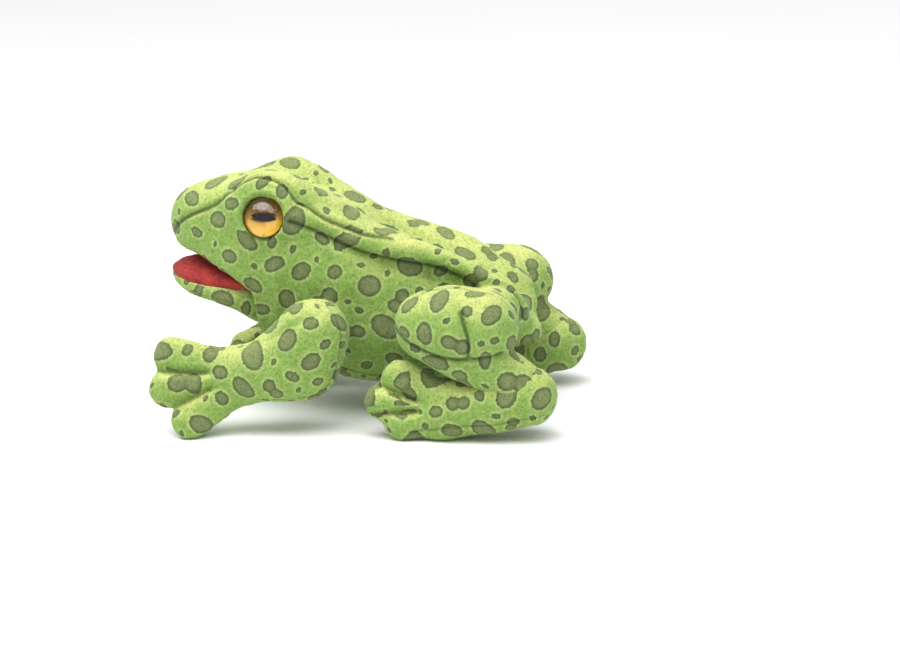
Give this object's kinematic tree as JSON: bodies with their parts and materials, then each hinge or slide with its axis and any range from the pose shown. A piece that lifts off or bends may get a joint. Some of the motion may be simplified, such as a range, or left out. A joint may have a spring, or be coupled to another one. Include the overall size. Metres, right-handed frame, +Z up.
{
  "type": "finger puppet",
  "caption": "Plush frog finger puppet with an open mouth, amber eyes, a finger sleeve under the rump and limbs that flex.",
  "frame": {"origin": "on the floor, under the middle of the puppet's bounding box", "axes": "-Y is the front (the snout), +X is the puppet's left side, +Z is up"},
  "size_m": [0.0944, 0.1366, 0.0816],
  "materials": {
    "body_plush": "short-pile spotted plush",
    "ridge_plush": "short-pile spotted plush",
    "hem_plush": "short-pile plush, turned under",
    "tack_plush": "short-pile plush",
    "head_plush": "short-pile spotted plush",
    "limb_plush": "short-pile spotted plush",
    "mouth_lining": "short-pile red plush",
    "sleeve_lining": "thin knitted lining",
    "stuffing": "polyester fibre filling",
    "eye_clear": "clear polished dome",
    "eye_pupil": "black",
    "eye_iris": "amber",
    "eye_post": "moulded"
  },
  "bodies": {
    "trunk": {"back_panel": "body_plush", "belly_panel": "body_plush", "left_flank_panel": "body_plush", "right_flank_panel": "body_plush", "left_back_ridge": "ridge_plush", "right_back_ridge": "ridge_plush", "finger_sleeve": "sleeve_lining", "sleeve_hem": "hem_plush", "trunk_stuffing": "stuffing", "left_shoulder_tack": "tack_plush", "right_shoulder_tack": "tack_plush", "left_hip_tack": "tack_plush", "right_hip_tack": "tack_plush"},
    "head": {"crown_panel": "head_plush", "left_cheek_panel": "head_plush", "right_cheek_panel": "head_plush", "throat_panel": "head_plush", "mouth_roof": "mouth_lining", "head_stuffing": "stuffing", "left_brow_mound": "head_plush", "left_eye_dome": "eye_clear", "left_eye_pupil": "eye_pupil", "left_eye_iris": "eye_iris", "left_eye_post": "eye_post", "left_eye_washer": "eye_post", "right_brow_mound": "head_plush", "right_eye_dome": "eye_clear", "right_eye_pupil": "eye_pupil", "right_eye_iris": "eye_iris", "right_eye_post": "eye_post", "right_eye_washer": "eye_post"},
    "jaw": {"mouth_floor": "mouth_lining", "chin_panel": "head_plush", "jaw_stuffing": "stuffing"},
    "left_arm": {"left_arm_outer": "limb_plush", "left_arm_inner": "limb_plush", "left_arm_stuffing": "stuffing"},
    "left_hand": {"left_hand_back": "limb_plush", "left_hand_palm": "limb_plush", "left_hand_stuffing": "stuffing"},
    "left_leg": {"left_leg_outer": "limb_plush", "left_leg_inner": "limb_plush", "left_leg_stuffing": "stuffing"},
    "left_foot": {"left_foot_top": "limb_plush", "left_foot_sole": "limb_plush", "left_foot_stuffing": "stuffing"},
    "right_arm": {"right_arm_outer": "limb_plush", "right_arm_inner": "limb_plush", "right_arm_stuffing": "stuffing"},
    "right_hand": {"right_hand_back": "limb_plush", "right_hand_palm": "limb_plush", "right_hand_stuffing": "stuffing"},
    "right_leg": {"right_leg_outer": "limb_plush", "right_leg_inner": "limb_plush", "right_leg_stuffing": "stuffing"},
    "right_foot": {"right_foot_top": "limb_plush", "right_foot_sole": "limb_plush", "right_foot_stuffing": "stuffing"}
  },
  "joints": [
    {"name": "head_nod", "type": "hinge", "parent": "trunk", "child": "head", "pos_m": [0, -0.022, 0.05], "axis": [1, 0, 0], "range_deg": [-12, 12], "stiffness_Nm_per_rad": 0.3},
    {"name": "jaw_open", "type": "hinge", "parent": "head", "child": "jaw", "pos_m": [0, -0.0385, 0.0388], "axis": [1, 0, 0], "range_deg": [-12, 12], "stiffness_Nm_per_rad": 0.04},
    {"name": "left_shoulder_swing", "type": "hinge", "parent": "trunk", "child": "left_arm", "pos_m": [0.032, -0.0105, 0.0335], "axis": [1, 0, 0], "range_deg": [-25, 25], "stiffness_Nm_per_rad": 0.2},
    {"name": "left_wrist_flex", "type": "hinge", "parent": "left_arm", "child": "left_hand", "pos_m": [0.034, -0.037, 0.0195], "axis": [0.2856, 0.1377, -0.9484], "range_deg": [-15, 15], "stiffness_Nm_per_rad": 0.08},
    {"name": "left_hip_swing", "type": "hinge", "parent": "trunk", "child": "left_leg", "pos_m": [0.0346, 0.0435, 0.037], "axis": [1, 0, 0], "range_deg": [-15, 20], "stiffness_Nm_per_rad": 0.3},
    {"name": "left_ankle_flex", "type": "hinge", "parent": "left_leg", "child": "left_foot", "pos_m": [0.0335, 0.0587, 0.0145], "axis": [1, 0, 0], "range_deg": [-6, 20], "stiffness_Nm_per_rad": 0.15},
    {"name": "right_shoulder_swing", "type": "hinge", "parent": "trunk", "child": "right_arm", "pos_m": [-0.032, -0.0105, 0.0335], "axis": [1, 0, 0], "range_deg": [-25, 25], "stiffness_Nm_per_rad": 0.2},
    {"name": "right_wrist_flex", "type": "hinge", "parent": "right_arm", "child": "right_hand", "pos_m": [-0.034, -0.037, 0.0195], "axis": [0.8325, 0.0021, -0.5541], "range_deg": [-15, 15], "stiffness_Nm_per_rad": 0.08},
    {"name": "right_hip_swing", "type": "hinge", "parent": "trunk", "child": "right_leg", "pos_m": [-0.0346, 0.0435, 0.037], "axis": [1, 0, 0], "range_deg": [-15, 20], "stiffness_Nm_per_rad": 0.3},
    {"name": "right_ankle_flex", "type": "hinge", "parent": "right_leg", "child": "right_foot", "pos_m": [-0.0335, 0.0587, 0.0145], "axis": [1, 0, 0], "range_deg": [-6, 20], "stiffness_Nm_per_rad": 0.15}
  ]
}
